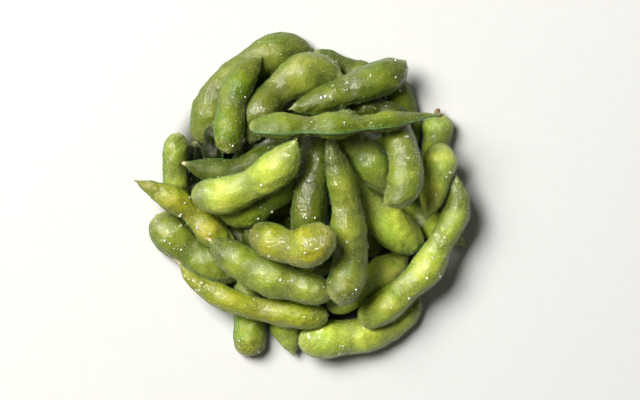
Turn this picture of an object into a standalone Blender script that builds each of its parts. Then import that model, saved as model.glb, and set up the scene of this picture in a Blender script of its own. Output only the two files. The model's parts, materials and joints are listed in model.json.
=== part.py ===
"""A bundle of cooked edamame pods: whole soybean pods heaped on a table, each one its own solid.

The heap is built from the table up. Every pod is given by the line that its middle follows in plan
and by how wide it is over each bean. It is then let down onto the pods below it, and bends, tips,
rolls and slides a little until it lies as low as it can. The origin is on the table, under the
middle of the heap.
"""

import math

import bpy
import numpy as np
from mathutils import Matrix

MM = 0.001

# The heap, in millimetres and degrees
CLEARANCE = 0.3          # left between two pods that touch
PRESSED = 0.6            # how far a soft pod flattens where it bears on the table
REACH = 75.0             # half the side of the square of table that the heap is built on
CELL = 0.35              # side of one cell of the map of heights
FIRST_STEP = {"tip": 6.0, "roll": 6.0, "bend": 1.6, "x": 0.8, "y": 0.8}
STEP_SCALES = (1.0, 0.5, 0.25, 0.12)
MOST_SLIDE = 0.9
MOST_TIP = 24.0
MOST_ROLL = 14.0
MOST_BEND = 3.0          # how far the middle of a pod rises or sags as it drapes over others

# The skin of a pod
SIDES = 12               # corners of each ring round a pod
RING_PITCH = 2.9         # mean distance from ring to ring along a pod
END_CROWDING = 0.45      # rings stand closer together towards the two ends
FLATNESS = 0.80          # thickness of a pod over its width
SEAM_KEENNESS = 0.16     # how much the two halves of a pod meet at an edge instead of a curve
WAIST_IN_WIDTH = 0.15    # how far a pod draws in between two beans
WAIST_IN_THICKNESS = 0.30
FINE_ALONG, FINE_AROUND = 180, 64
ROUND_END = (5.0, 0.5)   # length of the taper at the stem end, and how blunt it is
POINTED_END = (11.0, 0.85)

# Colours of the cooked skins
SKINS = {
    "bright": (0.55, 0.61, 0.13, 1.0),
    "yellow": (0.47, 0.50, 0.06, 1.0),
    "dull": (0.26, 0.30, 0.08, 1.0),
    "deep": (0.19, 0.27, 0.05, 1.0),
}


class Pod:
    """One pod: its shape in its own frame, and how it lies in the heap."""

    def __init__(self, name, skin, widths, line, roll=0.0, tip=0.0, bend=0.0,
                 stem=ROUND_END, beak=POINTED_END, flatness=FLATNESS, waists=1.0):
        self.name = name
        self.colour = SKINS[skin]
        self.widths = np.array(widths, float)
        self.stem = stem
        self.beak = beak
        self.flatness = flatness
        self.waists = waists
        points = np.array(line, float)
        self.middle = points.mean(axis=0)
        self.plan = smooth_line(points - self.middle)
        ends = self.plan[-1] - self.plan[0]
        self.heading = math.atan2(ends[1], ends[0])
        self.lie = {"tip": tip, "roll": roll, "bend": bend, "x": 0.0, "y": 0.0}
        self.first_lie = dict(self.lie)
        self.height = 0.0

    def spine(self, bend):
        """The middle line of the pod, with its middle raised by the bend, and the run along it."""
        share = np.linspace(0.0, 1.0, len(self.plan))
        rise = 4.0 * bend * share * (1.0 - share)
        spine = np.column_stack([self.plan, rise - rise.mean()])
        steps = np.linalg.norm(np.diff(spine, axis=0), axis=1)
        return spine, np.concatenate([[0.0], np.cumsum(steps)])

    def girth(self, along, length):
        """Half width and half thickness of the pod at each distance along it."""
        stem_length, stem_power = self.stem
        beak_length, beak_power = self.beak
        from_stem = np.clip(along / stem_length, 0.0, 1.0)
        from_beak = np.clip((length - along) / beak_length, 0.0, 1.0)
        ends = (1.0 - (1.0 - from_stem) ** 2) ** stem_power
        ends = ends * (1.0 - (1.0 - from_beak) ** 2) ** beak_power
        first = 0.35 * stem_length
        last = length - 0.5 * beak_length
        count = len(self.widths)
        bean = np.clip((along - first) / (last - first), 0.0, 1.0) * count
        waist = self.waists * (0.5 + 0.5 * np.cos(2.0 * math.pi * bean))
        place = np.clip(bean - 0.5, 0.0, count - 1.0)
        before = np.minimum(place.astype(int), count - 1)
        after = np.minimum(before + 1, count - 1)
        blend = 0.5 - 0.5 * np.cos(math.pi * (place - before))
        width = self.widths[before] * (1.0 - blend) + self.widths[after] * blend
        half_width = 0.5 * width * ends * (1.0 - WAIST_IN_WIDTH * waist)
        half_thickness = 0.5 * self.flatness * width * ends * (1.0 - WAIST_IN_THICKNESS * waist)
        return half_width, half_thickness

    def surface(self, shares, angles, bend):
        """Points of the skin in the pod's own frame: one row for each share of the length."""
        spine, run = self.spine(bend)
        ahead = np.gradient(spine, run, axis=0)
        along = shares * run[-1]
        middle = np.stack([np.interp(along, run, spine[:, k]) for k in range(3)], axis=1)
        forward = np.stack([np.interp(along, run, ahead[:, k]) for k in range(3)], axis=1)
        forward /= np.linalg.norm(forward, axis=1)[:, None]
        across = np.cross([0.0, 0.0, 1.0], forward)
        across /= np.linalg.norm(across, axis=1)[:, None]
        up = np.cross(forward, across)
        half_width, half_thickness = self.girth(along, run[-1])
        lens = np.sin(angles) * (1.0 - SEAM_KEENNESS * np.cos(angles) ** 2)
        wide = np.outer(half_width, np.cos(angles))[:, :, None] * across[:, None, :]
        thick = np.outer(half_thickness, lens)[:, :, None] * up[:, None, :]
        return middle[:, None, :] + wide + thick

    def turn(self, lie):
        """Rotation that rolls the pod about its length and tips its beak up or down."""
        face = Matrix.Rotation(self.heading, 3, "Z")
        tip = Matrix.Rotation(-math.radians(lie["tip"]), 3, "Y")
        roll = Matrix.Rotation(math.radians(lie["roll"]), 3, "X")
        return np.array(face @ tip @ roll @ face.inverted())

    def placed(self, points, lie, height):
        shift = np.array([self.middle[0] + lie["x"], self.middle[1] + lie["y"], height])
        return points.reshape(-1, 3) @ self.turn(lie).T + shift


def smooth_line(points, count=80):
    """A smooth curve through the points, made of cubic arcs."""
    ends = np.vstack([2 * points[0] - points[1], points, 2 * points[-1] - points[-2]])
    curve = []
    for before, start, end, after in zip(ends, ends[1:], ends[2:], ends[3:]):
        for t in np.linspace(0.0, 1.0, count // (len(points) - 1), endpoint=False):
            curve.append(0.5 * (2 * start + (end - before) * t
                                + (2 * before - 5 * start + 4 * end - after) * t ** 2
                                + (3 * start - before - 3 * end + after) * t ** 3))
    curve.append(points[-1])
    return np.array(curve)


class Heap:
    """A map of the heights of what lies on the table so far."""

    def __init__(self):
        self.side = int(2 * REACH / CELL)
        self.top = np.full((self.side, self.side), -CLEARANCE - PRESSED)
        self.widened = self.top

    def cells(self, points):
        return np.clip(((points[:, :2] + REACH) / CELL).astype(int), 0, self.side - 1)

    def rest_height(self, pod, lie, every):
        """How high the pod's middle is when it is let down on the heap as it lies."""
        shares = np.linspace(0.0, 1.0, FINE_ALONG // every)
        angles = np.linspace(0.0, 2.0 * math.pi, FINE_AROUND // every, endpoint=False)
        at = pod.placed(pod.surface(shares, angles, lie["bend"]), lie, 0.0)
        x, y = self.cells(at).T
        height = float((self.widened[x, y] - at[:, 2]).max()) + CLEARANCE
        return height, at + [0.0, 0.0, height]

    def cost(self, pod, lie):
        """Height of the pod's middle, with a little added for each way it has moved."""
        strayed = math.hypot(lie["x"], lie["y"]) / MOST_SLIDE
        tipped = abs(lie["tip"] - pod.first_lie["tip"]) / MOST_TIP
        rolled = abs(lie["roll"] - pod.first_lie["roll"]) / MOST_ROLL
        bent = abs(lie["bend"] - pod.first_lie["bend"]) / MOST_BEND
        if max(strayed, tipped, rolled, bent) > 1.0:
            return math.inf
        height = self.rest_height(pod, lie, 2)[0]
        return height + 0.3 * strayed + 0.8 * tipped ** 2 + 0.5 * rolled + 0.8 * bent ** 2

    def widen(self):
        """The heights, each spread to the cells beside it, so that pods stay clear sideways."""
        spread = self.top.copy()
        for dx in (-1, 0, 1):
            for dy in (-1, 0, 1):
                spread = np.maximum(spread, np.roll(self.top, (dx, dy), axis=(0, 1)))
        self.widened = spread

    def let_down(self, pod):
        """Moves the pod step by step to where it lies lowest, then adds it to the heights."""
        self.widen()
        best = self.cost(pod, pod.lie)
        for scale in STEP_SCALES:
            moved = True
            while moved:
                moved = False
                for way, step in FIRST_STEP.items():
                    for sign in (1.0, -1.0):
                        trial = dict(pod.lie)
                        trial[way] += sign * step * scale
                        cost = self.cost(pod, trial)
                        if cost < best - 1e-3:
                            best, pod.lie, moved = cost, trial, True
        pod.height, at = self.rest_height(pod, pod.lie, 1)
        x, y = self.cells(at).T
        np.maximum.at(self.top, (x, y), at[:, 2])


def build_mesh(pod):
    """The pod's skin as rings of corners, drawn to a point at each end and pressed flat below."""
    spine, run = pod.spine(pod.lie["bend"])
    count = round(run[-1] / RING_PITCH)
    even = np.linspace(0.0, 1.0, count + 1)
    shares = even - END_CROWDING * np.sin(2.0 * math.pi * even) / (2.0 * math.pi)
    angles = 2.0 * math.pi * (np.arange(SIDES) + 0.5) / SIDES
    rings = pod.surface(shares[1:-1], angles, pod.lie["bend"]).reshape(-1, 3)
    points = np.vstack([rings, spine[0], spine[-1]])
    turn = pod.turn(pod.lie)
    lifted = points @ turn.T + [0.0, 0.0, pod.height]
    lifted[:, 2] = np.maximum(lifted[:, 2], 0.0)
    points = (lifted - [0.0, 0.0, pod.height]) @ turn
    first = len(rings)
    last = first + 1
    faces = []
    for ring in range(count - 2):
        for side in range(SIDES):
            a = ring * SIDES + side
            b = ring * SIDES + (side + 1) % SIDES
            faces.append((a, b, b + SIDES, a + SIDES))
    end = (count - 2) * SIDES
    for side in range(SIDES):
        after = (side + 1) % SIDES
        faces.append((first, after, side))
        faces.append((last, end + side, end + after))
    mesh = bpy.data.meshes.new(pod.name)
    mesh.from_pydata((points * MM).tolist(), [], faces)
    mesh.shade_smooth()
    return mesh


def rim_pods():
    """Pods that lie on the table round the edge of the heap."""
    return [
        Pod("rim_pod_1", "bright", (12.5, 13.4, 14.2), [
            (-36, 18), (-34.4, 25), (-32.6, 33), (-25.6, 40), (-16, 47.3), (-9.3, 50.4),
            (-3, 51.6), (2.7, 51.8)], waists=0.6),
        Pod("rim_pod_2", "deep", (6.2, 6.4), [(-38.4, 19), (-38.2, 12), (-38, 5), (-37, -3)]),
        Pod("rim_pod_3", "bright", (9.8, 9.6), [
            (-43.3, 21.8), (-44.8, 15), (-45.2, 8), (-44, 1), (-41.5, -6)], roll=-30,
            waists=0.3),
        Pod("rim_pod_4", "dull", (13.6, 12.8), [
            (-52.5, -7.3), (-48, -13.5), (-42, -19), (-36, -23.5), (-29, -27), (-22, -29.5)]),
        Pod("rim_pod_5", "bright", (11.4, 10), [
            (-19.3, -57.4), (-19.5, -50), (-20, -43), (-21, -35), (-22, -28)],
            stem=(4, 0.45), waists=0.4),
        Pod("rim_pod_6", "dull", (10.2, 12.2), [(-9.5, -32), (-7.5, -40), (-6, -47), (-4, -56.8)]),
        Pod("rim_pod_7", "bright", (13.6, 12.6, 10.4), [
            (-2.3, -53), (5, -51.6), (12, -51), (19, -50.3), (26, -48.6), (32, -45.6),
            (36.3, -41.3), (38.3, -36), (38.8, -31)], stem=(8, 0.55), waists=0.4),
        Pod("rim_pod_8", "deep", (10.5, 10), [
            (29, 40), (33, 36), (35.5, 30), (37, 23), (38.5, 15)]),
        Pod("rim_pod_9", "dull", (10, 10.8), [
            (28, -2), (33, -5), (41, -8.5), (48, -12.5), (53, -15.5), (57.6, -17.6)]),
        Pod("rim_pod_10", "dull", (10.5, 10.5), [
            (3.2, 50.2), (8.8, 46), (16.7, 43.3), (23.5, 41), (30, 37)]),
        Pod("rim_pod_11", "dull", (11, 10), [(46.5, 28.6), (46.7, 22), (45.6, 15), (44.5, 6)],
            stem=(4, 0.42)),
    ]


def base_pods():
    """Pods on the table inside the rim, which carry the rest and fill the gaps between them."""
    return [
        Pod("base_pod_1", "deep", (8.6, 11, 10.5), [(-30.8, 17), (-30.8, 8), (-27.5, -1)]),
        Pod("base_pod_2", "deep", (10.5, 12, 11), [(-10, -25.5), (0, -26), (11, -28), (21, -33)]),
        Pod("base_pod_3", "deep", (11.5, 11.5), [(-14, 2), (-8, -7), (0, -12), (9, -13)]),
        Pod("base_pod_4", "deep", (11, 12, 11), [(25, -22), (20, -13), (16, -4), (13, 4)]),
        Pod("base_pod_5", "deep", (11, 10.5), [(-14, 16), (-6, 9), (2, 1)]),
        Pod("base_pod_6", "deep", (11.5, 12, 11), [(-20, 28), (-11, 25), (-2, 20), (6, 13)]),
        Pod("base_pod_7", "deep", (11, 12, 10.5), [(-4, 35), (6, 31), (15, 25), (22, 17)]),
        Pod("base_pod_8", "deep", (9.5, 9), [(30, 22), (29, 14), (27, 6)]),
        Pod("base_pod_9", "deep", (10.5, 11), [(-35, -8), (-28, -12), (-20, -16), (-12, -18.5)]),
        Pod("base_pod_10", "deep", (8, 8.4), [(50.5, 3.4), (46.5, -1.6), (41, -1.4), (34, 2)]),
    ]


def heart_pods():
    """Hidden pods laid across the base, which raise the middle of the heap."""
    return [
        Pod("heart_pod_1", "deep", (11, 12, 11), [(-24, 4), (-14, 6), (-3, 10), (7, 16)]),
        Pod("heart_pod_2", "deep", (11, 12, 11), [(8, -28), (12, -18), (14, -6), (12, 4)]),
        Pod("heart_pod_3", "deep", (11.5, 11), [(-21, -12.5), (-12, -15), (-2, -17)]),
    ]


def lower_pods():
    """The second course, which bridges the pods on the table."""
    return [
        Pod("lower_pod_1", "deep", (8, 8), [
            (-31.5, 25.5), (-32, 19), (-32, 12), (-31, 5)], roll=25),
        Pod("lower_pod_2", "dull", (10.5, 12.4), [
            (7, -39.5), (13, -36.5), (19, -33), (25, -29), (31, -25), (37.5, -20.5)]),
        Pod("lower_pod_3", "deep", (10, 10), [(2, 22), (-7, 19), (-16, 16), (-26, 12)]),
        Pod("lower_pod_4", "deep", (9.6, 9.2), [
            (37, 23), (32, 27), (25, 30), (18, 30.3), (11, 29.5)]),
        Pod("lower_pod_5", "deep", (11, 10.6), [
            (-2, 9), (-7, 4), (-13, -1), (-19, -5), (-25, -6.8), (-32, -5)]),
        Pod("lower_pod_6", "dull", (9.6, 14.6), [
            (11, 16), (17, 6.5), (21.5, -1), (26, -7.5), (31, -12.5), (36.5, -16), (42, -18.3)
        ], beak=(9, 0.6), waists=0.7),
        Pod("lower_pod_7", "deep", (10.5, 10), [(-9, -22), (0, -24), (12, -26)]),
        Pod("lower_pod_8", "deep", (9.2, 8.8), [
            (-8, 15), (-16, 11.5), (-24, 8.5), (-31, 8), (-37, 9.2), (-42.3, 10.8)]),
    ]


def upper_pods():
    """The third course."""
    return [
        Pod("upper_pod_1", "bright", (12.2, 15.6), [
            (-19, 18), (-17, 25), (-13.5, 31), (-8.5, 36.5), (-2, 40.6), (5, 42.6), (13.2, 41.2)
        ], beak=(7, 0.55), waists=1.7),
        Pod("upper_pod_2", "deep", (9.4, 12.4), [
            (-5, 30), (3, 32), (12, 35.3), (20, 38.4), (28, 41.5), (33, 44.4), (36, 47.2)
        ], stem=(14, 0.8), beak=(9, 0.7), waists=0.3),
        Pod("upper_pod_3", "bright", (11.6, 11.8, 9.6), [
            (19, -43.5), (23, -42.5), (28, -40), (33, -36), (38.5, -31), (43.5, -26), (47, -19.5),
            (50.5, -13), (53.6, -7), (54.3, -1), (53.8, 6)]),
        Pod("upper_pod_4", "dull", (12.2, 10.5), [
            (48.6, 18), (47.8, 11), (46, 4), (44.5, -3), (43, -8.5)], stem=(6, 0.5), waists=0.7),
        Pod("upper_pod_5", "deep", (11.8, 11), [
            (0.2, -16), (0.6, -8), (1.4, 0), (2.8, 8), (3.4, 16), (3.4, 25)], waists=0.4),
        Pod("upper_pod_6", "dull", (12.6, 12.4), [
            (10, 28), (15, 21), (19.5, 15), (23.5, 9.5), (26.5, 4.5), (28.8, -0.3)], waists=0.4),
        Pod("upper_pod_7", "yellow", (10, 9), [
            (-25, -19.5), (-28, -17), (-32.5, -13.5), (-37, -9.3), (-41.5, -4.8), (-47, -1.3),
            (-53, 1.8), (-59.3, 4.9)], beak=(13, 0.8), waists=1.7),
        Pod("upper_pod_8", "yellow", (9.6, 8.4), [
            (8.8, -42.6), (3, -43), (-3, -42.6), (-10, -41.4), (-17, -40.3), (-24, -38.2),
            (-30, -35.6), (-35.5, -32.5), (-40.5, -28.7), (-43.5, -24.4)], beak=(20, 0.85)),
    ]


def crown_pods():
    """The pods on top of the heap."""
    return [
        Pod("crown_pod_1", "dull", (11, 12.2), [
            (29.5, 27), (32.2, 20), (34.2, 13), (34.6, 6), (32.6, 0.5), (27.2, -3.6)
        ], beak=(9, 0.7), waists=0.4),
        Pod("crown_pod_2", "dull", (10.6, 13.4, 12.2), [
            (10, -33.4), (4, -32.8), (-2, -31.3), (-9, -29.4), (-16, -26.7), (-22.5, -22.8),
            (-28, -18.9), (-33, -15)], waists=0.5),
        Pod("crown_pod_3", "bright", (13.2, 12.2, 10.2), [
            (8.6, -36.4), (11.4, -34), (14.2, -29.5), (15.2, -24), (15.5, -17), (14.6, -10),
            (13.9, -3), (12.4, 4), (10, 12), (7.4, 21)], beak=(20, 0.95), waists=0.6),
        Pod("crown_pod_4", "deep", (10.8, 10.6), [
            (-25.8, 14), (-25.8, 20), (-25.4, 27), (-24.2, 34), (-21.6, 40), (-18, 45), (-14.3, 49)
        ]),
        Pod("crown_pod_5", "deep", (11.8, 12, 9), [
            (-19.2, 25), (-10, 23.4), (2, 21.4), (15, 21.2), (25, 22.2), (35, 25.2), (42, 27.8),
            (47.6, 29.2)], roll=-50, beak=(22, 0.85),
            waists=1.4),
        Pod("crown_pod_6", "yellow", (12.2, 15), [
            (-20, -12), (-14, -14.7), (-7, -17), (0, -17.5), (5.5, -15.2), (9.4, -10.4)
        ], beak=(5, 0.5)),
        Pod("crown_pod_7", "bright", (13.4, 13), [
            (-40.5, -0.3), (-35, -0.3), (-29, -0.4), (-22, 2), (-16, 5), (-10, 9), (-5, 13.5),
            (-0.2, 20.8)], stem=(7, 0.5)),
    ]


def clear_scene():
    for old in list(bpy.data.objects):
        bpy.data.objects.remove(old, do_unlink=True)


def pod_skin(pod):
    """Cooked skin: green, slightly glossy, and never metal."""
    material = bpy.data.materials.new(pod.name + "_skin")
    material.use_nodes = True
    shader = material.node_tree.nodes["Principled BSDF"]
    shader.inputs["Base Color"].default_value = pod.colour
    shader.inputs["Roughness"].default_value = 0.42
    shader.inputs["Metallic"].default_value = 0.0
    return material


def place(pod):
    """One object for one pod, with its origin in the middle of the pod."""
    mesh = build_mesh(pod)
    mesh.materials.append(pod_skin(pod))
    item = bpy.data.objects.new(pod.name, mesh)
    bpy.context.scene.collection.objects.link(item)
    x = pod.middle[0] + pod.lie["x"]
    y = pod.middle[1] + pod.lie["y"]
    item.location = (MM * x, MM * y, MM * pod.height)
    item.rotation_euler = Matrix(pod.turn(pod.lie).tolist()).to_euler()
    return item


def centre_on_origin(items):
    """Slides the heap along the table until the origin is under its middle."""
    bpy.context.view_layer.update()
    corners = np.array([item.matrix_world @ vertex.co
                        for item in items for vertex in item.data.vertices])
    middle = 0.5 * (corners.min(axis=0) + corners.max(axis=0))
    for item in items:
        item.location.x -= middle[0]
        item.location.y -= middle[1]


def build():
    clear_scene()
    heap = Heap()
    pods = rim_pods() + base_pods() + heart_pods() + lower_pods() + upper_pods() + crown_pods()
    for pod in pods:
        heap.let_down(pod)
    centre_on_origin([place(pod) for pod in pods])


build()
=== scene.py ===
import json
import math

import bpy
import numpy as np
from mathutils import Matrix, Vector
from mathutils.bvhtree import BVHTree


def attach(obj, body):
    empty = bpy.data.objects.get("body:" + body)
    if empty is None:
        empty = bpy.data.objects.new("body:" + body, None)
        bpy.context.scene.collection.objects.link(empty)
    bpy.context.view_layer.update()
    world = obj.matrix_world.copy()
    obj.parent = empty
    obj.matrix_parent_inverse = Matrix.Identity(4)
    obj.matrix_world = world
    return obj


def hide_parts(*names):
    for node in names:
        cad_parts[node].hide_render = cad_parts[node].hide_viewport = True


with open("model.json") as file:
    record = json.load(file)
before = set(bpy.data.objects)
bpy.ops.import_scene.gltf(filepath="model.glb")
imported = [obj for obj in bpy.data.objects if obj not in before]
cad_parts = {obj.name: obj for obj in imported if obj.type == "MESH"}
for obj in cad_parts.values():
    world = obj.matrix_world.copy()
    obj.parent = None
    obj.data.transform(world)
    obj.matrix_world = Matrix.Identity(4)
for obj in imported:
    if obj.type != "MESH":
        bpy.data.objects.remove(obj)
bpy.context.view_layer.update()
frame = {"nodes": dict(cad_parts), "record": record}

MM = 0.001


# ---------------------------------------------------------------- table, light and camera
# The heap lies on a plain white table top with a fine matt grain. A broad light high on the left
# gives all but the gleams on wet skin, and a small bright pane in the same place gives only those.
# A weak light stands opposite, in a dim room. The camera hangs straight above on a long lens.

def wire(tree, kind, inputs=(), **settings):
    """A new shader node with its settings made and its inputs set or linked."""
    made = tree.nodes.new("ShaderNode" + kind)
    for name, value in settings.items():
        setattr(made, name, value)
    for socket, value in dict(inputs).items():
        if isinstance(value, bpy.types.NodeSocket):
            tree.links.new(value, made.inputs[socket])
        else:
            made.inputs[socket].default_value = value
    return made


def blank_material(name):
    """A material with nothing in it but its output."""
    material = bpy.data.materials.new(name)
    material.use_nodes = True
    material.node_tree.nodes.clear()
    return material, wire(material.node_tree, "OutputMaterial")


def blend_colours(tree, share, first, second, how="MIX"):
    """Colour socket that goes from the first colour to the second as share goes from 0 to 1."""
    mixed = wire(tree, "Mix", data_type="RGBA", blend_type=how)
    for socket, value in zip((mixed.inputs[0], mixed.inputs[6], mixed.inputs[7]), (share, first, second)):
        if isinstance(value, bpy.types.NodeSocket):
            tree.links.new(value, socket)
        else:
            socket.default_value = value
    return mixed.outputs[2]


def fade(tree, value, low, high, at_low=0.0, at_high=1.0):
    """Number socket that runs smoothly between two levels as the value goes from low to high."""
    made = wire(tree, "MapRange", {"Value": value, "From Min": low, "From Max": high,
                                   "To Min": at_low, "To Max": at_high},
                interpolation_type="SMOOTHSTEP")
    return made.outputs["Result"]


TABLE_WHITE = (0.64, 0.64, 0.655, 1.0)
TABLE_SHADE = (0.61, 0.61, 0.625, 1.0)
TABLE_SIDE = 4.0
TABLE_GRAIN = 220.0              # specks to the metre
# painted shade: the table under the heap is painted dark green, so that the table seen through gaps
# between pods reads as deep shade
PAINTED_SHADE_UNDER_HEAP = (0.050, 0.055, 0.030, 1.0)
PAINTED_SHADE_EDGE = (0.044, 0.053)     # how far from the middle the painted shade under the heap reaches

table_paint, paint_out = blank_material("matt_white_table")
tree = table_paint.node_tree
grain = wire(tree, "TexNoise", {"Vector": wire(tree, "TexCoord").outputs["Object"],
                                "Scale": TABLE_GRAIN, "Detail": 3.0})
bare_table = blend_colours(tree, grain.outputs["Fac"], TABLE_SHADE, TABLE_WHITE)
from_middle = wire(tree, "VectorMath", {0: wire(tree, "TexCoord").outputs["Object"]},
                   operation="LENGTH").outputs["Value"]
# the painted shade under the heap, blended over the bare grained table
paint = wire(tree, "BsdfPrincipled", {
    "Base Color": blend_colours(tree, fade(tree, from_middle, *PAINTED_SHADE_EDGE), PAINTED_SHADE_UNDER_HEAP, bare_table),
    "Roughness": 0.75})
tree.links.new(paint.outputs[0], paint_out.inputs["Surface"])
half = TABLE_SIDE / 2
table_mesh = bpy.data.meshes.new("table_top")
table_mesh.from_pydata([(-half, -half, 0), (half, -half, 0), (half, half, 0), (-half, half, 0)],
                       [], [(0, 1, 2, 3)])
table_mesh.materials.append(table_paint)
table_top = bpy.data.objects.new("table_top", table_mesh)
bpy.context.collection.objects.link(table_top)


def softbox(name, azimuth, height, distance, width, power, colour, lights=True, gleams=True):
    """A square soft light aimed at the heap, azimuth and height in degrees. It may light things
    without showing as a gleam on wet skin, or show as a gleam without lighting them."""
    lamp = bpy.data.lights.new(name, "AREA")
    lamp.size = width
    lamp.energy = power
    lamp.color = colour
    box = bpy.data.objects.new(name, lamp)
    turn, rise = math.radians(azimuth), math.radians(height)
    way = Vector((math.cos(turn) * math.cos(rise), math.sin(turn) * math.cos(rise), math.sin(rise)))
    box.location = way * distance
    box.rotation_mode = "QUATERNION"
    box.rotation_quaternion = way.to_track_quat("Z", "Y")
    box.visible_diffuse = lights
    box.visible_glossy = gleams
    bpy.context.collection.objects.link(box)


DAYLIGHT, SKYLIGHT = (1.0, 0.985, 0.91), (0.97, 0.98, 1.0)
ROOM_COLOUR, ROOM_STRENGTH = (1.0, 1.0, 0.95, 1.0), 0.030
softbox("window_light", azimuth=143, height=52, distance=1.7, width=0.95, power=59.0,
        colour=DAYLIGHT, gleams=False)
softbox("window_pane", azimuth=141, height=52, distance=1.7, width=0.17, power=60.0,
        colour=DAYLIGHT, lights=False)
softbox("far_fill", azimuth=-30, height=65, distance=1.6, width=0.7, power=0.7, colour=SKYLIGHT)

room = bpy.data.worlds.new("dim_room")
room.use_nodes = True
backdrop = room.node_tree.nodes["Background"]
backdrop.inputs["Color"].default_value = ROOM_COLOUR
backdrop.inputs["Strength"].default_value = ROOM_STRENGTH
bpy.context.scene.world = room
bpy.context.scene.view_settings.view_transform = "Standard"

LENS, SENSOR = 180.0, 36.0
FRAME_WIDTH = 0.224              # width of table in view at the middle height of the heap
MIDDLE_HEIGHT = 0.022
VIEW_CENTRE = (0.0059, -0.0017)
eye = bpy.data.cameras.new("camera")
eye.lens, eye.sensor_width = LENS, SENSOR
camera = bpy.data.objects.new("camera", eye)
camera.location = (*VIEW_CENTRE, MIDDLE_HEIGHT + FRAME_WIDTH * LENS / SENSOR)
bpy.context.collection.objects.link(camera)
bpy.context.scene.camera = camera


# ---------------------------------------------------------------- base pods
# Ten whole pods at the bottom carry the heap. Each is a boiled soybean pod grown as one piece:
# two fleshy valves over the beans, joined along two seams, with a cut stalk and a beak.
# The skin is drawn afresh over the solid's rings of points, with its seams, dents and wrinkles.

SIDES_IN_SOLID = 12              # corners to each ring of a pod's solid
SEAM_CROWDING = 0.62             # points round the pod stand closer together at the two seams
END_CROWDING = 0.60              # and rings closer together towards its two ends
SEAM_HEIGHT, SEAM_WIDTH = 0.20, 0.42             # these and the next are in millimetres
GROOVE_DEPTH, GROOVE_AT, GROOVE_WIDTH = 0.16, 1.35, 0.65
DENT_DEPTH, DENT_SIZE = 0.10, 5.0
WRINKLE_DEPTH, WRINKLE_SIZE = 0.055, 1.9
RINGS_IN_END = 8                 # rings added for a stalk or a beak
WRINKLES_APART, VEINS_APART = 30.0, 40.0         # so that a pod's two valves differ

# Ends of a pod in millimetres: length past the skin, radius, how much its foot flares, and its curl
NUB = (0.5, 0.70, 0.25, 0.0)
STALK = (1.6, 0.85, 0.55, 0.1)
TORN_STALK = (2.2, 1.15, 0.50, 0.1)
POINT = (1.0, 0.34, 0.20, 0.25)
THREAD = (3.0, 0.32, 0.70, 0.16)
CURLED_BEAK = (1.9, 0.42, 0.60, 0.35)
BLUNT_TIP = (1.5, 0.75, 0.05, 0.05)

SKIN_COLOURS = {                 # over the beans, on the flanks, at the waists
    "bright_green_skin": ((0.335, 0.380, 0.050, 1), (0.150, 0.212, 0.018, 1), (0.150, 0.182, 0.034, 1)),
    "yellow_green_skin": ((0.335, 0.345, 0.026, 1), (0.160, 0.195, 0.011, 1), (0.150, 0.165, 0.022, 1)),
    "dull_green_skin": ((0.235, 0.280, 0.032, 1), (0.105, 0.150, 0.014, 1), (0.110, 0.136, 0.026, 1)),
    "deep_green_skin": ((0.185, 0.230, 0.015, 1), (0.080, 0.122, 0.007, 1), (0.082, 0.105, 0.012, 1)),
}
RIPER, GREENER = (1.16, 0.99, 0.70, 1), (0.52, 0.80, 0.60, 1)    # patches, times the skin's colour
PAINTED_END_SHADE = (0.57, 0.60, 0.60, 1)    # painted shade: skin darkened towards an end that lies in shadow, likewise times the skin's colour
YELLOWING = (0.16, 0.03, -0.25)  # what a wholly yellow pod gains in red, green and blue
PALEST = 0.85                    # no skin is paler than this
# the seams' own blue-green, and a paler line along each seam's ridge that is a painted highlight
SEAM_GREEN, SEAM_RIDGE_HIGHLIGHT = (0.045, 0.120, 0.028, 1), (0.150, 0.290, 0.100, 1)
PALE_TIP = (0.50, 0.50, 0.20, 1)
LEAFY, BROWN, BLUSH = (0.26, 0.28, 0.06, 1), (0.16, 0.065, 0.022, 1), (0.66, 0.52, 0.32, 1)

# Relief of the skin in millimetres: the oblique hatching, its cells, the veins, and the film of water
HATCH_RELIEF, CELL_RELIEF, VEIN_RELIEF, FILM_RELIEF = 0.15, 0.11, 0.012, -0.075
DROP_HEIGHT = 0.20
HATCH_SLANT, DROP_SLANT = math.radians(-38), math.radians(-50)

pods = []                        # what the salt and the down need to know of each pod


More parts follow.
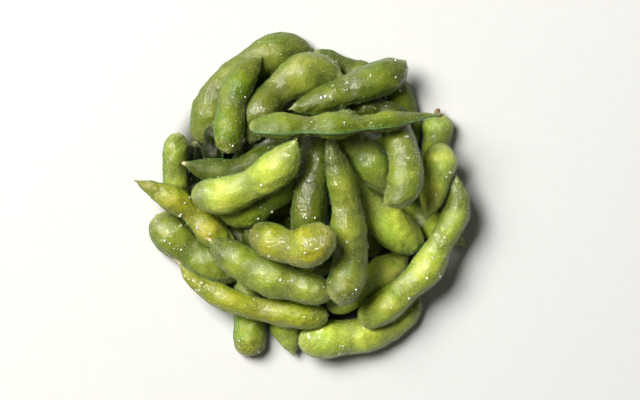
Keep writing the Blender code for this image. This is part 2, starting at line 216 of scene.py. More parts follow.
def rings_of(node):
    """Rings of corners of a pod's solid from end to end, in millimetres, and its two end points."""
    mesh = frame["nodes"][node].data
    points = np.array([v.co for v in mesh.vertices]) / MM
    _, first, index = np.unique(np.round(points, 4), axis=0, return_index=True, return_inverse=True)
    points, index = points[first], index.reshape(-1)
    near = [set() for _ in points]
    for edge in mesh.edges:
        a, b = (int(index[v]) for v in edge.vertices)
        if a != b:
            near[a].add(b)
            near[b].add(a)
    start = next(i for i, others in enumerate(near) if len(others) == SIDES_IN_SOLID)
    courses, seen, rings = [{start}], {start}, []
    while len(seen) < len(points):
        courses.append(set().union(*(near[i] for i in courses[-1])) - seen)
        seen |= courses[-1]
    for ring in courses[1:-1]:
        if len(ring) < SIDES_IN_SOLID:           # a ring that lost corners where it lies flat
            left, whole = points[sorted(ring)], rings[-1]
            shrink = left.std(axis=0).sum() / whole.std(axis=0).sum()
            rings.append(left.mean(axis=0) + (whole - whole.mean(axis=0)) * shrink)
            continue
        order = [min(ring)]
        while len(order) < SIDES_IN_SOLID:
            order.append(min(j for j in near[order[-1]] & ring if j not in order))
        corners = points[order]
        ahead = corners.mean(axis=0) - (rings[-1].mean(axis=0) if rings else points[start])
        spokes = corners - corners.mean(axis=0)
        if np.cross(spokes, np.roll(spokes, -1, axis=0)).sum(axis=0) @ ahead < 0:
            corners, spokes = corners[::-1], spokes[::-1]
        if rings:
            before = rings[-1] - rings[-1].mean(axis=0)
            turn = min(range(SIDES_IN_SOLID),
                       key=lambda k: np.square(np.roll(spokes, k, axis=0) - before).sum())
            corners = np.roll(corners, turn, axis=0)
        rings.append(corners)
    rings = np.array(rings)
    gaps = (rings + np.roll(rings, 1, axis=1)) / 2
    half_turn = SIDES_IN_SOLID // 2
    spans = np.linalg.norm(gaps[:, :half_turn] - gaps[:, half_turn:], axis=2).sum(axis=0)
    return np.roll(rings, -int(spans.argmax()), axis=1), points[[start, courses[-1].pop()]]


def smooth_through(rows, at):
    """Rows of values at the places given, on one curve without kinks through the rows."""
    count = len(rows)
    system = 4 * np.eye(count) + np.eye(count, k=1) + np.eye(count, k=-1)
    system[0], system[-1] = np.eye(count)[0], np.eye(count)[-1]
    flat = rows.reshape(count, -1)
    pull = np.zeros_like(flat)
    pull[1:-1] = 6 * (flat[2:] - 2 * flat[1:-1] + flat[:-2])
    bend = np.linalg.solve(system, pull)
    k = np.clip(at.astype(int), 0, count - 2)
    t = (at - k)[:, None]
    u = 1 - t
    curve = u * flat[k] + t * flat[k + 1] + ((u ** 3 - u) * bend[k] + (t ** 3 - t) * bend[k + 1]) / 6
    return curve.reshape((len(at),) + rows.shape[1:])


def ripples(points, size, seed, count=26):
    """An uneven field over the points, with swells about size apart and a spread of one."""
    chance = np.random.default_rng(seed)
    ways = chance.normal(size=(count, 3))
    ways *= (2 * np.pi / size * chance.uniform(0.6, 1.5, count) / np.linalg.norm(ways, axis=1))[:, None]
    return np.cos(points @ ways.T + chance.uniform(0, 2 * np.pi, count)).sum(axis=-1) * (2 / count) ** 0.5


def unit(vectors):
    return vectors / np.maximum(np.linalg.norm(vectors, axis=-1, keepdims=True), 1e-9)


def with_end(middle, spokes, run, end, side):
    """The rings with a stalk or beak grown out of the first one, which lies at the pod's end."""
    length, radius, flare, curl = end
    outward = unit(middle[0] - middle[3])
    near = int(np.searchsorted(np.abs(run - run[0]), 1.6))
    frame_spokes = spokes[near] - np.outer(spokes[near] @ outward, outward)
    frame_spokes = unit(frame_spokes)

    def girth(past):
        foot = radius * (1 + flare * np.exp(-((past + 0.1) / 0.4) ** 2))
        tip = np.clip((past / length - 0.75) / 0.25, 0, 1)
        return foot * (1 - 0.25 * np.clip(past / length, 0, 1)) * np.sqrt(1 - 0.94 * tip ** 2)

    depth = np.abs(run - run[0])
    size = np.linalg.norm(spokes, axis=2)
    inner = girth(-depth)[:, None] * np.exp(-(depth / 2.5) ** 2)[:, None]
    size_with_end = (size ** 3 + inner ** 3) ** (1 / 3)
    mix = np.exp(-(depth / 0.5) ** 2)[:, None, None]
    ways = unit(unit(spokes) * (1 - mix) + frame_spokes[None] * mix)
    spokes = ways * size_with_end[:, :, None]
    past = length * (1 - np.linspace(0, 1, RINGS_IN_END + 1)[:-1] ** 1.5)
    lean = unit(np.cross(outward, [0.0, 0.0, 1.0]) * side + 0.4 * np.array([0.0, 0.0, 1.0]))
    new_middle = middle[0] + past[:, None] * outward + (curl * past ** 2)[:, None] * lean
    new_spokes = girth(past)[:, None, None] * frame_spokes[None]
    return (np.vstack([new_middle, middle]), np.concatenate([new_spokes, spokes]),
            np.concatenate([run[0] - np.sign(run[1] - run[0]) * past, run]))


def pod_shape(node, seed, stem, beak, pitch, sides):
    """The skin of a pod as rings of points from the stalk on, with what each point lies over."""
    rings, ends = rings_of(node)
    girths = np.linalg.norm(rings - rings.mean(axis=1, keepdims=True), axis=2).mean(axis=1)
    if girths[:2].sum() < girths[-2:].sum():
        rings = rings[::-1, ::-1]
        girths, ends = girths[::-1], ends[::-1]
    count = len(rings) + 1
    corner = 2 * np.pi * (np.arange(SIDES_IN_SOLID) + 0.5) / SIDES_IN_SOLID
    waves = np.exp(-1j * np.outer(np.arange(6), corner))
    parts = np.einsum("mj,kjx->kmx", waves, rings) / SIDES_IN_SOLID
    share = np.arange(1, count) / count
    powers = [float(np.clip(np.log(b / a) / np.log(2), 0.4, 1.0))
              for a, b in ((girths[0], girths[1]), (girths[-1], girths[-2]))]
    swell = share ** powers[0] * (1 - share) ** powers[1]
    middles = np.vstack([ends[:1], parts[:, 0].real, ends[1:]])
    around = parts[:, 1:] / swell[:, None, None]
    around = np.concatenate([around[:1], around, around[-1:]])

    fine = np.linspace(0, 1, 500)
    line = smooth_through(middles, fine * count)
    reach = np.concatenate([[0], np.cumsum(np.linalg.norm(np.diff(line, axis=0), axis=1))])
    steps = int(reach[-1] / pitch)
    x = np.arange(1, steps) / steps
    run = reach[-1] * (x - END_CROWDING * np.sin(2 * np.pi * x) / (2 * np.pi))
    at = np.interp(run, reach, fine)
    middle = smooth_through(middles, at * count)
    parts = smooth_through(around, at * count)
    parts = parts * (at ** powers[0] * (1 - at) ** powers[1])[:, None, None]
    turn = 2 * np.pi * np.arange(sides) / sides
    turn = turn - SEAM_CROWDING * np.sin(2 * turn) / 2
    spin = np.exp(1j * np.outer(np.arange(1, 6), turn))
    spokes = 2 * np.einsum("nmx,mj->njx", parts, spin).real

    thick = np.linalg.norm(spokes[:, sides // 4] - spokes[:, 3 * sides // 4], axis=1)
    wide = np.linalg.norm(spokes[:, 0] - spokes[:, sides // 2], axis=1)
    ratio = thick / wide
    body = (run > 5) & (run < reach[-1] - 6)
    plump = np.clip((ratio - ratio[body].min()) / (ratio[body].max() - ratio[body].min() + 0.02), 0, 1)

    middle, spokes, run = with_end(middle, spokes, run, stem, 1)
    middle, spokes, run = with_end(middle[::-1], spokes[::-1], run[::-1], beak, -1)
    middle, spokes, run = middle[::-1], spokes[::-1], run[::-1]
    plump = np.concatenate([np.zeros(RINGS_IN_END), plump, np.zeros(RINGS_IN_END)])
    points = middle[:, None, :] + spokes

    steps_round = np.linalg.norm(np.roll(points, -1, axis=1) - points, axis=2)
    arc = np.concatenate([np.zeros((len(points), 1)), np.cumsum(steps_round, axis=1)], axis=1)
    half, full = arc[:, [sides // 2]], arc[:, [-1]]
    arc = np.where(np.arange(sides + 1) <= sides // 2, arc, full - arc)
    other = np.where(np.arange(sides + 1) <= sides // 2, half, full - half)
    seam = np.minimum(arc, other - arc)[:, :-1]

    slope = np.gradient(points, axis=0)
    across = np.roll(points, -1, axis=1) - np.roll(points, 1, axis=1)
    normal = unit(np.cross(across, slope))
    if (normal * spokes).sum() < 0:
        normal = -normal
    inside = np.clip(run / 4, 0, 1) * np.clip((reach[-1] - run) / 5, 0, 1)
    inside = (inside * (2 - inside))[:, None]
    lift = SEAM_HEIGHT * np.exp(-(seam / SEAM_WIDTH) ** 2)
    lift = lift - GROOVE_DEPTH * np.exp(-((seam - GROOVE_AT) / GROOVE_WIDTH) ** 2)
    lift = lift + DENT_DEPTH * ripples(points, DENT_SIZE, seed)
    along = np.broadcast_to(run[:, None], seam.shape)
    which = np.where(np.arange(sides) < sides // 2, 0.0, WRINKLES_APART)
    valve = np.stack([along * 0.55 + arc[:, :-1] * 0.5, arc[:, :-1] * 0.75 - along * 0.35,
                      np.broadcast_to(which, seam.shape)], axis=2)
    free = np.clip(seam / 2.5, 0, 1) * (1.25 - 0.6 * plump[:, None])
    lift = lift + WRINKLE_DEPTH * free * ripples(valve, WRINKLE_SIZE, seed + 1)
    points = points + normal * (lift * inside)[:, :, None]
    points[:, :, 2] = np.maximum(points[:, :, 2], 0.0)
    return {"points": points, "normal": normal, "run": run, "length": reach[-1], "arc": arc,
            "seam": seam, "plump": plump, "tips": np.stack([middle[0], middle[-1]])}


def toned(colour, times):
    """The colour so many times as bright, with no part of it over one."""
    return tuple(min(1.0, part * times) for part in colour[:3]) + (1.0,)


def boiled_skin(name, slot, tone_and_painted_light, yellow, patchy, wet, end_shade_reach, ends):
    """Skin of a boiled pod: thin green flesh over pale beans under a film of water, with fine
    oblique veins and two darker seams."""
    material, out = blank_material(name)
    tree = material.node_tree
    # tone scales all the skin's colours; besides the pod's own paleness it paints light and shade: low
    # tones paint shade, high ones paint light
    change = [tone_and_painted_light * (1 + gain * yellow) for gain in YELLOWING]
    over_bean, flank, waist = [
        tuple(min(PALEST, part * k) for part, k in zip(colour, change)) + (1.0,)
        for colour in SKIN_COLOURS[slot]]
    valve = wire(tree, "Attribute", attribute_name="valve").outputs["Vector"]
    reach = wire(tree, "Attribute", attribute_name="reach").outputs["Vector"]
    from_stem, from_beak, seam = wire(tree, "SeparateXYZ", {"Vector": reach}).outputs
    plump = wire(tree, "Attribute", attribute_name="plump").outputs["Fac"]

    swirl = wire(tree, "TexNoise", {"Vector": valve, "Scale": 0.16, "Detail": 3.0, "Roughness": 0.55})
    cells = wire(tree, "TexNoise", {"Vector": valve, "Scale": 1.9, "Detail": 3.0, "Roughness": 0.65})
    slant = wire(tree, "Mapping", {"Vector": valve, "Rotation": (0.0, 0.0, HATCH_SLANT),
                                   "Scale": (0.75, 2.5, 1.0)}).outputs["Vector"]
    hatch = wire(tree, "TexNoise", {"Vector": slant, "Scale": 1.0, "Detail": 3.5, "Roughness": 0.62,
                                    "Distortion": 0.5})
    net = wire(tree, "TexVoronoi", {"Vector": slant, "Scale": 0.42, "Randomness": 0.9},
               feature="DISTANCE_TO_EDGE")
    beads = wire(tree, "Mapping", {"Vector": valve, "Rotation": (0.0, 0.0, DROP_SLANT),
                                   "Scale": (0.90, 1.35, 1.0)}).outputs["Vector"]
    pores = wire(tree, "TexVoronoi", {"Vector": valve, "Scale": 1.15, "Randomness": 1.0})

    bulge = wire(tree, "Math", {0: plump, 1: fade(tree, seam, 1.0, 6.5)}, operation="MULTIPLY").outputs[0]
    uneven = wire(tree, "Math", {0: fade(tree, swirl.outputs["Fac"], 0.30, 0.70, -0.35, 0.35), 1: bulge},
                  operation="ADD", use_clamp=True).outputs[0]
    colour = blend_colours(tree, fade(tree, plump, 0.0, 0.5), waist, flank)
    colour = blend_colours(tree, uneven, colour, over_bean)
    ripe = wire(tree, "TexNoise", {"Vector": valve, "Scale": 0.11, "Detail": 2.0}).outputs["Fac"]
    colour = blend_colours(tree, fade(tree, ripe, 0.50, 0.64, 0.0, patchy), colour, RIPER, "MULTIPLY")
    colour = blend_colours(tree, fade(tree, ripe, 0.49, 0.34, 0.0, patchy), colour, GREENER, "MULTIPLY")
    colour = blend_colours(tree, fade(tree, net.outputs["Distance"], 0.0, 0.10, 0.26, 0.0), colour,
                           toned(flank, 0.55))
    colour = blend_colours(tree, fade(tree, cells.outputs["Fac"], 0.38, 0.66, 0.0, 0.24), colour,
                           toned(over_bean, 1.55))
    colour = blend_colours(tree, fade(tree, hatch.outputs["Fac"], 0.58, 0.36, 0.0, 0.34), colour,
                           toned(flank, 0.55))
    colour = blend_colours(tree, fade(tree, pores.outputs["Distance"], 0.12, 0.34, 0.30, 0.0), colour,
                           toned(over_bean, 1.75))
    seam_line = wire(tree, "Math", {0: fade(tree, seam, 0.35, 1.05, 0.75, 0.0),
                                    1: fade(tree, cells.outputs["Fac"], 0.30, 0.60, 1.0, 0.6)},
                     operation="MULTIPLY").outputs[0]
    colour = blend_colours(tree, seam_line, colour, SEAM_GREEN)
    # painted highlight: a paler line along the ridge of each seam
    colour = blend_colours(tree, fade(tree, seam, 0.10, 0.34, 0.75, 0.0), colour, SEAM_RIDGE_HIGHLIGHT)
    # painted shade: the skin is darkened towards the stalk or the beak, as far as given for the pod
    for distance, far in zip((from_stem, from_beak), end_shade_reach):
        if far:
            end_shade_share = fade(tree, distance, far - 3, far + 3, 1.0, 0.0)
            colour = blend_colours(tree, end_shade_share, colour, PAINTED_END_SHADE, "MULTIPLY")
    for distance, tip in zip((from_stem, from_beak), ends):
        colour = blend_colours(tree, fade(tree, distance, 0.2, 2.4, 0.30, 0.0), colour, PALE_TIP)
        colour = blend_colours(tree, fade(tree, distance, -0.35, 0.75, 0.95, 0.0), colour, tip)

    rough = fade(tree, cells.outputs["Fac"], 0.3, 0.7, 0.34, 0.52)
    film = wire(tree, "TexVoronoi", {"Vector": beads, "Scale": 1.0, "Smoothness": 0.15,
                                     "Randomness": 1.0}, feature="SMOOTH_F1")
    relief = 0.0
    for pattern, height in ((hatch.outputs["Fac"], HATCH_RELIEF), (cells.outputs["Fac"], CELL_RELIEF),
                            (fade(tree, net.outputs["Distance"], 0.0, 0.14), VEIN_RELIEF),
                            (film.outputs["Distance"], FILM_RELIEF)):
        relief = wire(tree, "Math", {0: pattern, 1: height, 2: relief},
                      operation="MULTIPLY_ADD").outputs[0]
    bump = wire(tree, "Bump", {"Height": relief, "Strength": 1.0, "Distance": MM})
    drops = wire(tree, "Bump", {"Height": film.outputs["Distance"], "Strength": 1.0,
                                "Distance": MM * DROP_HEIGHT, "Normal": bump.outputs[0]}, invert=True)
    skin = wire(tree, "BsdfPrincipled", {
        "Base Color": colour, "Roughness": rough, "Normal": bump.outputs[0],
        "Subsurface Weight": 0.20, "Subsurface Radius": (0.9, 1.0, 0.25), "Subsurface Scale": 0.0012,
        "Specular IOR Level": 0.17, "Coat Weight": wet, "Coat Roughness": 0.12, "Coat IOR": 1.50,
        "Coat Normal": drops.outputs[0], "Sheen Weight": 0.015, "Sheen Roughness": 0.45,
        "Sheen Tint": (0.80, 0.90, 0.60, 1.0)})
    tree.links.new(skin.outputs[0], out.inputs["Surface"])
    return material


def keep_field(mesh, name, kind, domain, values):
    """Stores a value at each point or each face's corner of the mesh, for its material to read."""
    field = "value" if kind == "FLOAT" else "vector"
    stored = mesh.attributes.new(name, kind, domain)
    stored.data.foreach_set(field, values.astype(np.float32).ravel())


def lay_pod(node, tone_and_painted_light=1.0, yellow=0.0, patchy=0.45, wet=1.0, end_shade_reach=(0, 0), stem=NUB, beak=POINT,
            stem_colour=LEAFY, beak_colour=LEAFY, pitch=0.50, sides=80):
    """Draws the skin of one pod over its solid and fixes it there. Tone is how pale it is, partly the
    pod's own paleness and partly painted light and shade; yellow, patchy and wet run from 0 to 1,
    and dusk is how far from the stalk and from the beak painted shade darkens it. Pitch is the
    distance between its rings of points in millimetres."""
    seed = 10 * len(pods) + 7
    slot = next(p["material_slot"] for p in frame["record"]["subparts"] if p["node"] == node)
    shape = pod_shape(node, seed, stem, beak, pitch, sides)
    points = shape["points"]
    rings = len(points)
    grid = np.arange(rings * sides).reshape(rings, sides)
    right = np.roll(grid, -1, axis=1)
    quads = np.stack([grid[:-1], right[:-1], right[1:], grid[1:]], axis=2).reshape(-1, 4)
    first, last = rings * sides, rings * sides + 1
    fans = np.vstack([np.column_stack([right[0], grid[0], np.full(sides, first)]),
                      np.column_stack([grid[-1], right[-1], np.full(sides, last)])])
    every = np.vstack([points.reshape(-1, 3), shape["tips"]])
    a, b, c = every[quads[len(quads) // 2][:3]]
    if np.cross(b - a, c - a) @ shape["normal"].reshape(-1, 3)[quads[len(quads) // 2][0]] < 0:
        quads, fans = quads[:, ::-1], fans[:, ::-1]
    mesh = bpy.data.meshes.new(node + "_boiled")
    mesh.from_pydata(every * MM, [], quads.tolist() + fans.tolist())
    mesh.shade_smooth()

    run = np.broadcast_to(shape["run"][:, None], (rings, sides)).reshape(-1)
    run_all = np.concatenate([run, [run[0], run[-1]]])
    seam_all = np.concatenate([shape["seam"].reshape(-1), [0.0, 0.0]])
    reach = np.column_stack([run_all, shape["length"] - run_all, seam_all])
    keep_field(mesh, "reach", "FLOAT_VECTOR", "POINT", reach)
    plump = np.concatenate([np.repeat(shape["plump"], sides), [0.0, 0.0]])
    keep_field(mesh, "plump", "FLOAT", "POINT", plump)
    corners = np.empty(len(mesh.loops), np.int32)
    mesh.loops.foreach_get("vertex_index", corners)
    starts = np.empty(len(mesh.polygons), np.int32)
    mesh.polygons.foreach_get("loop_start", starts)
    sizes = np.diff(np.append(starts, len(corners)))
    face_column = np.tile(np.arange(sides), rings + 1)
    loop_column = np.repeat(face_column, sizes)
    loop_side = (loop_column >= sides // 2).astype(int)
    tip = corners >= rings * sides
    row = np.where(tip, np.where(corners == first, 0, rings - 1), corners // sides)
    column = np.where(tip, loop_column, corners % sides)
    column = np.where((column == 0) & (loop_side == 1) & (loop_column == sides - 1), sides, column)
    arc = shape["arc"][row, column]
    valve = np.column_stack([shape["run"][row], arc, loop_side * VEINS_APART + seed])
    keep_field(mesh, "valve", "FLOAT_VECTOR", "CORNER", valve)

    mesh.materials.append(boiled_skin(node + "_skin", slot, tone_and_painted_light, yellow, patchy, wet, end_shade_reach,
                                      (stem_colour, beak_colour)))
    pod = bpy.data.objects.new(node + "_boiled", mesh)
    bpy.context.collection.objects.link(pod)
    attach(pod, "root")
    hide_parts(node)
    shape["group"] = node.split("_")[0]
    pods.append(shape)


for number in range(1, 11):
    # painted shade: these pods deep in the heap are given a low tone, so they are painted darker
    lay_pod(f"base_pod_{number}", tone_and_painted_light=0.5, wet=0.3, pitch=0.8, sides=56)


# ---------------------------------------------------------------- rim pods
# Eleven pods lie all round the edge of the heap, most of them on the table. The last still has
# the torn stalk that held it to the plant.

# tone is partly each pod's own paleness and partly painted light and shade: the lowest tones paint shade
# onto pods lying in shadow, the highest paint light onto pods that the heap shades from the lamps
RIM = {
    1: dict(tone_and_painted_light=0.67, wet=0.45),
    2: dict(tone_and_painted_light=0.06, wet=0.1),
    3: dict(tone_and_painted_light=1.1),
    4: dict(tone_and_painted_light=1.05, wet=0.75),
    5: dict(tone_and_painted_light=1.17, patchy=0.9, wet=0.5),
    6: dict(tone_and_painted_light=2.1, patchy=0.3),
    7: dict(tone_and_painted_light=1.95, end_shade_reach=(0, 11)),
    8: dict(tone_and_painted_light=1.05, wet=0.6),
    9: dict(tone_and_painted_light=2.5, patchy=0.2),
    10: dict(tone_and_painted_light=0.68, wet=0.2),
    11: dict(tone_and_painted_light=1.85, stem=TORN_STALK, stem_colour=BROWN),
}
for number, looks in RIM.items():
    lay_pod(f"rim_pod_{number}", **looks)


# ---------------------------------------------------------------- heart pods
# Three pods in the middle of the heap, which hold up its crown. Little of them shows.

for number in range(1, 4):
    # painted shade: these pods in the middle of the heap are given a low tone, so they are painted darker
    lay_pod(f"heart_pod_{number}", tone_and_painted_light=0.6, wet=0.4, pitch=0.8, sides=56)


# ---------------------------------------------------------------- lower pods
# Eight pods of the second course, seen in the gaps between those above.

# tone here is also painted light and shade: low tones paint shade, high ones paint light onto pods shaded
# by those above
LOWER = {
    1: dict(tone_and_painted_light=0.12, wet=0.1),
    2: dict(tone_and_painted_light=4.6),
    3: dict(tone_and_painted_light=0.25, wet=0.3),
    4: dict(tone_and_painted_light=0.38, yellow=0.3, wet=0.3),
    5: dict(tone_and_painted_light=1.7),
    6: dict(tone_and_painted_light=2.9, end_shade_reach=(0, 18)),
    7: dict(tone_and_painted_light=1.2),
    8: dict(tone_and_painted_light=0.60, wet=0.2, beak=BLUNT_TIP, beak_colour=BLUSH),
}
for number, looks in LOWER.items():
    lay_pod(f"lower_pod_{number}", **looks)


# ---------------------------------------------------------------- upper pods
# Eight pods of the third course, most of them seen nearly whole.

# tone here is partly each pod's own paleness and partly painted light and shade
UPPER = {
    1: dict(tone_and_painted_light=0.80, stem=STALK, end_shade_reach=(0, 20)),
    2: dict(tone_and_painted_light=1.0),
    3: dict(tone_and_painted_light=1.6, end_shade_reach=(0, 12)),
    4: dict(tone_and_painted_light=4.0),
    5: dict(tone_and_painted_light=0.74, patchy=0.8),
    6: dict(tone_and_painted_light=1.15, patchy=0.8),
    7: dict(tone_and_painted_light=1.25, yellow=0.3),
    8: dict(tone_and_painted_light=1.3, yellow=0.1, beak=THREAD, beak_colour=BLUSH),
}
for number, looks in UPPER.items():
    lay_pod(f"upper_pod_{number}", **looks)


# ---------------------------------------------------------------- crown pods
# Seven pods on top of the heap, in full light, the fifth of them lying on its edge.

# tone here is partly each pod's own paleness and partly painted light and shade
CROWN = {
    1: dict(tone_and_painted_light=1.25, wet=0.8, end_shade_reach=(7, 0)),
    2: dict(tone_and_painted_light=1.4, yellow=0.2, patchy=0.3, end_shade_reach=(0, 11), beak=CURLED_BEAK, beak_colour=BLUSH),
    3: dict(tone_and_painted_light=0.88, end_shade_reach=(0, 13)),
    4: dict(tone_and_painted_light=1.18, patchy=1.0, wet=0.35),
    5: dict(tone_and_painted_light=1.13, wet=0.4, beak=BLUNT_TIP, beak_colour=BROWN),
    6: dict(tone_and_painted_light=1.1, yellow=0.3, end_shade_reach=(0, 7)),
    7: dict(tone_and_painted_light=1.5, end_shade_reach=(5, 0)),
}
for number, looks in CROWN.items():
    lay_pod(f"crown_pod_{number}", **looks)


# ---------------------------------------------------------------- down
# Short pale hairs stand all over the pods, thickest along the seams, round the waists and towards
# the ends. They grow out of the skin and lie towards the beak.

DOWN_LENGTH = (0.60, 1.45)
DOWN_RADIUS = (0.020, 0.042)
DOWN_PER_MM2 = {"base": 0.05, "rim": 0.50, "heart": 0.05, "lower": 0.40, "upper": 0.65,
                "crown": 0.70}
# How thick it stands on the beans, how much thicker at the waists and on the seams, and how far
# from a seam that reaches, in millimetres
ON_BEANS, AT_WAISTS, ON_SEAMS, SEAM_REACH = 0.13, 1.10, 0.45, 1.3
DOWN_DARK, DOWN_PALE = (0.36, 0.42, 0.10, 1), (0.72, 0.75, 0.38, 1)

solid_points, solid_faces = [], []
for body in frame["nodes"].values():
    solid_faces += [[len(solid_points) + v for v in face.vertices] for face in body.data.polygons]
    solid_points += [tuple(v.co) for v in body.data.vertices]
solids = BVHTree.FromPolygons(solid_points, solid_faces)


def scatter(shape, per_mm2, chance):
    """Places picked over a pod's skin, so many to the square millimetre of each cell of its grid:
    where they are, which way the skin faces and which way the beak lies."""
    points = shape["points"]
    beside = np.roll(points, -1, axis=1)
    cells = (points[:-1], beside[:-1], points[1:], beside[1:])
    areas = np.linalg.norm(np.cross(cells[1] - cells[0], cells[2] - cells[0]), axis=2)
    wanted = (areas * per_mm2[:-1]).reshape(-1)
    picked = chance.choice(len(wanted), int(wanted.sum()), p=wanted / wanted.sum())
    u, v = chance.uniform(size=(2, len(picked), 1))
    a, b, c, d = (corner.reshape(-1, 3)[picked] for corner in cells)
    where = (a * (1 - u) + b * u) * (1 - v) + (c * (1 - u) + d * u) * v
    facing = unit(np.cross(b - a, c - a))
    outward = shape["normal"][:-1].reshape(-1, 3)[picked]
    facing = facing * np.sign((facing * outward).sum(axis=1, keepdims=True))
    return where, facing, unit(c - a)


def clear_way(start, way, distance):
    """True if nothing of the heap stands within the distance, both in millimetres."""
    return solids.ray_cast(Vector(start) * MM, Vector(way), distance * MM)[0] is None


down_paint, down_out = blank_material("pale_down")
tree = down_paint.node_tree
hairs_place = wire(tree, "TexCoord").outputs["Object"]
hair_tone = wire(tree, "TexNoise", {"Vector": hairs_place, "Scale": 900.0, "Detail": 2.0})
hair = wire(tree, "BsdfPrincipled", {
    "Base Color": blend_colours(tree, fade(tree, hair_tone.outputs["Fac"], 0.35, 0.65),
                                DOWN_DARK, DOWN_PALE),
    "Roughness": 0.45, "Subsurface Weight": 0.3, "Subsurface Scale": 0.0004})
tree.links.new(hair.outputs[0], down_out.inputs["Surface"])

for group, density in DOWN_PER_MM2.items():
    chance = np.random.default_rng(len(group) * 31 + 5)
    roots, ways, bends, sizes = [], [], [], []
    for shape in (pod for pod in pods if pod["group"] == group):
        near_end = np.minimum(shape["run"], shape["length"] - shape["run"])
        bare = shape["plump"] * np.clip(near_end / 5, 0, 1)
        thick = ON_BEANS + AT_WAISTS * (1 - bare[:, None]) ** 2
        thick = thick + ON_SEAMS * np.exp(-(shape["seam"] / SEAM_REACH) ** 2)
        where, facing, ahead = scatter(shape, thick * density, chance)
        across = np.cross(facing, ahead)
        count = len(where)
        rise = chance.uniform(0.30, 1.1, (count, 1))
        way = unit(ahead * chance.uniform(0.5, 1.2, (count, 1)) + facing * rise
                   + across * chance.normal(0, 0.35, (count, 1)))
        long = chance.uniform(*DOWN_LENGTH, count)
        low = np.minimum(0, way[:, 2]) * long * 1.4
        free = [z > 0.1 and clear_way(p, w, s * 1.2)
                for z, p, w, s in zip(where[:, 2] + low, where + facing * 0.12, way, long)]
        roots.append(where[free] - facing[free] * 0.05)
        ways.append(way[free])
        bends.append(unit(way + ahead * 0.5 - facing * 0.15)[free])
        sizes.append(long[free])
    roots, ways, bends, sizes = (np.concatenate(part) for part in (roots, ways, bends, sizes))
    side = unit(np.cross(ways, bends + 0.01))
    other = np.cross(ways, side)
    radius = chance.uniform(*DOWN_RADIUS, (len(roots), 1, 1))
    thirds = 2 * np.pi * np.arange(3) / 3
    foot = radius * (np.cos(thirds)[None, :, None] * side[:, None]
                     + np.sin(thirds)[None, :, None] * other[:, None])
    middle = roots + ways * sizes[:, None] * 0.5
    hairs = np.concatenate([roots[:, None] + foot, middle[:, None] + foot * 0.75,
                            (middle + bends * sizes[:, None] * 0.5)[:, None]], axis=1)
    first = 7 * np.arange(len(roots))[:, None]
    turn = [0, 1, 2]
    walls = np.concatenate([first + [k, (k + 1) % 3, 3 + (k + 1) % 3, 3 + k] for k in turn])
    peaks = np.concatenate([first + [3 + k, 3 + (k + 1) % 3, 6] for k in turn])
    mesh = bpy.data.meshes.new(group + "_down")
    mesh.from_pydata(hairs.reshape(-1, 3) * MM, [], walls.tolist() + peaks.tolist())
    mesh.shade_smooth()
    mesh.materials.append(down_paint)
    down = bpy.data.objects.new(group + "_down", mesh)
    bpy.context.collection.objects.link(down)
    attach(down, "root")


# ---------------------------------------------------------------- salt
# Coarse table salt is strewn over the heap from above and sticks to the wet skins: small white
# cubes with worn corners, most of them under a fifth of a millimetre across, a few much larger.

GRAIN_SIDE = (0.17, 0.70)
LARGE_ARE_RARE = 7               # the higher, the fewer grains are near the largest size
GRAINS_PER_MM2 = 0.13
CORNER_WORN = 0.30               # of the length of an edge
SALT_GREY, SALT_WHITE = (0.86, 0.85, 0.80, 1), (0.96, 0.95, 0.91, 1)

salt_paint, salt_out = blank_material("salt_crystal")
tree = salt_paint.node_tree
frost = wire(tree, "TexNoise", {"Vector": wire(tree, "TexCoord").outputs["Object"],
                                "Scale": 2500.0, "Detail": 2.0})
salt = wire(tree, "BsdfPrincipled", {
    "Base Color": blend_colours(tree, frost.outputs["Fac"], SALT_GREY, SALT_WHITE),
    "Roughness": fade(tree, frost.outputs["Fac"], 0.3, 0.7, 0.15, 0.45)})
tree.links.new(salt.outputs[0], salt_out.inputs["Surface"])

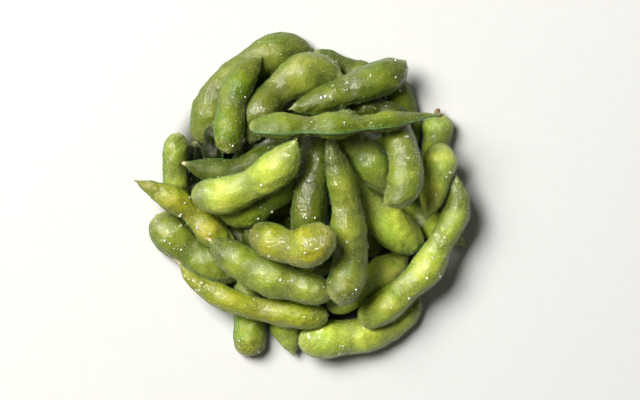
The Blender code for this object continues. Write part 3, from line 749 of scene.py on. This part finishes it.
cube = np.array([(x, y, z) for x in (-1, 1) for y in (-1, 1) for z in (-1, 1)], float) / 2
crystal, facets = [], []
for axis in range(3):                            # each corner of the cube worn to three points
    for corner in cube:
        worn = corner.copy()
        worn[axis] *= 1 - CORNER_WORN
        crystal.append(worn)
for axis in range(3):
    for sign in (-1, 1):
        face = [k for k in range(24) if crystal[k][axis] * sign > 0.49]
        mid = np.mean([crystal[k] for k in face], axis=0)
        e1, e2 = np.roll([1.0, 0, 0], axis + 1), np.roll([1.0, 0, 0], axis + 2)
        face.sort(key=lambda k: math.atan2((crystal[k] - mid) @ e2, (crystal[k] - mid) @ e1))
        facets.append(face if sign > 0 else face[::-1])
for k in range(8):
    tri = [k, 8 + k, 16 + k]
    a, b, c = (crystal[j] for j in tri)
    facets.append(tri if np.cross(b - a, c - a) @ cube[k] > 0 else tri[::-1])
crystal = np.array(crystal)

for group in ("rim", "lower", "upper", "crown"):
    chance = np.random.default_rng(len(group) * 17 + 3)
    corners, faces = [], []
    for shape in (pod for pod in pods if pod["group"] == group):
        level = np.clip(shape["normal"][:, :, 2], 0, 1)
        drift = np.clip(0.35 + 0.9 * ripples(shape["points"], 24.0, 77), 0.12, 4)
        where, facing, _ = scatter(shape, GRAINS_PER_MM2 * level * drift, chance)
        for place, out in zip(where, facing):
            large = chance.uniform() ** LARGE_ARE_RARE
            side = GRAIN_SIDE[0] + (GRAIN_SIDE[1] - GRAIN_SIDE[0]) * large
            turn = np.linalg.qr(chance.normal(size=(3, 3)))[0]
            turn[:, 0] *= np.sign(np.linalg.det(turn))
            stretch = side * chance.uniform(0.7, 1.0, 3)
            if out[2] < 0.25 or not clear_way(place + out * 0.15, (0, 0, 1), 60):
                continue
            faces += [[24 * len(corners) + k for k in facet] for facet in facets]
            corners.append((crystal * stretch) @ turn.T + place + out * side * 0.32)
    mesh = bpy.data.meshes.new(group + "_salt")
    mesh.from_pydata(np.concatenate(corners) * MM, [], faces)
    mesh.materials.append(salt_paint)
    grains = bpy.data.objects.new(group + "_salt", mesh)
    bpy.context.collection.objects.link(grains)
    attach(grains, "root")
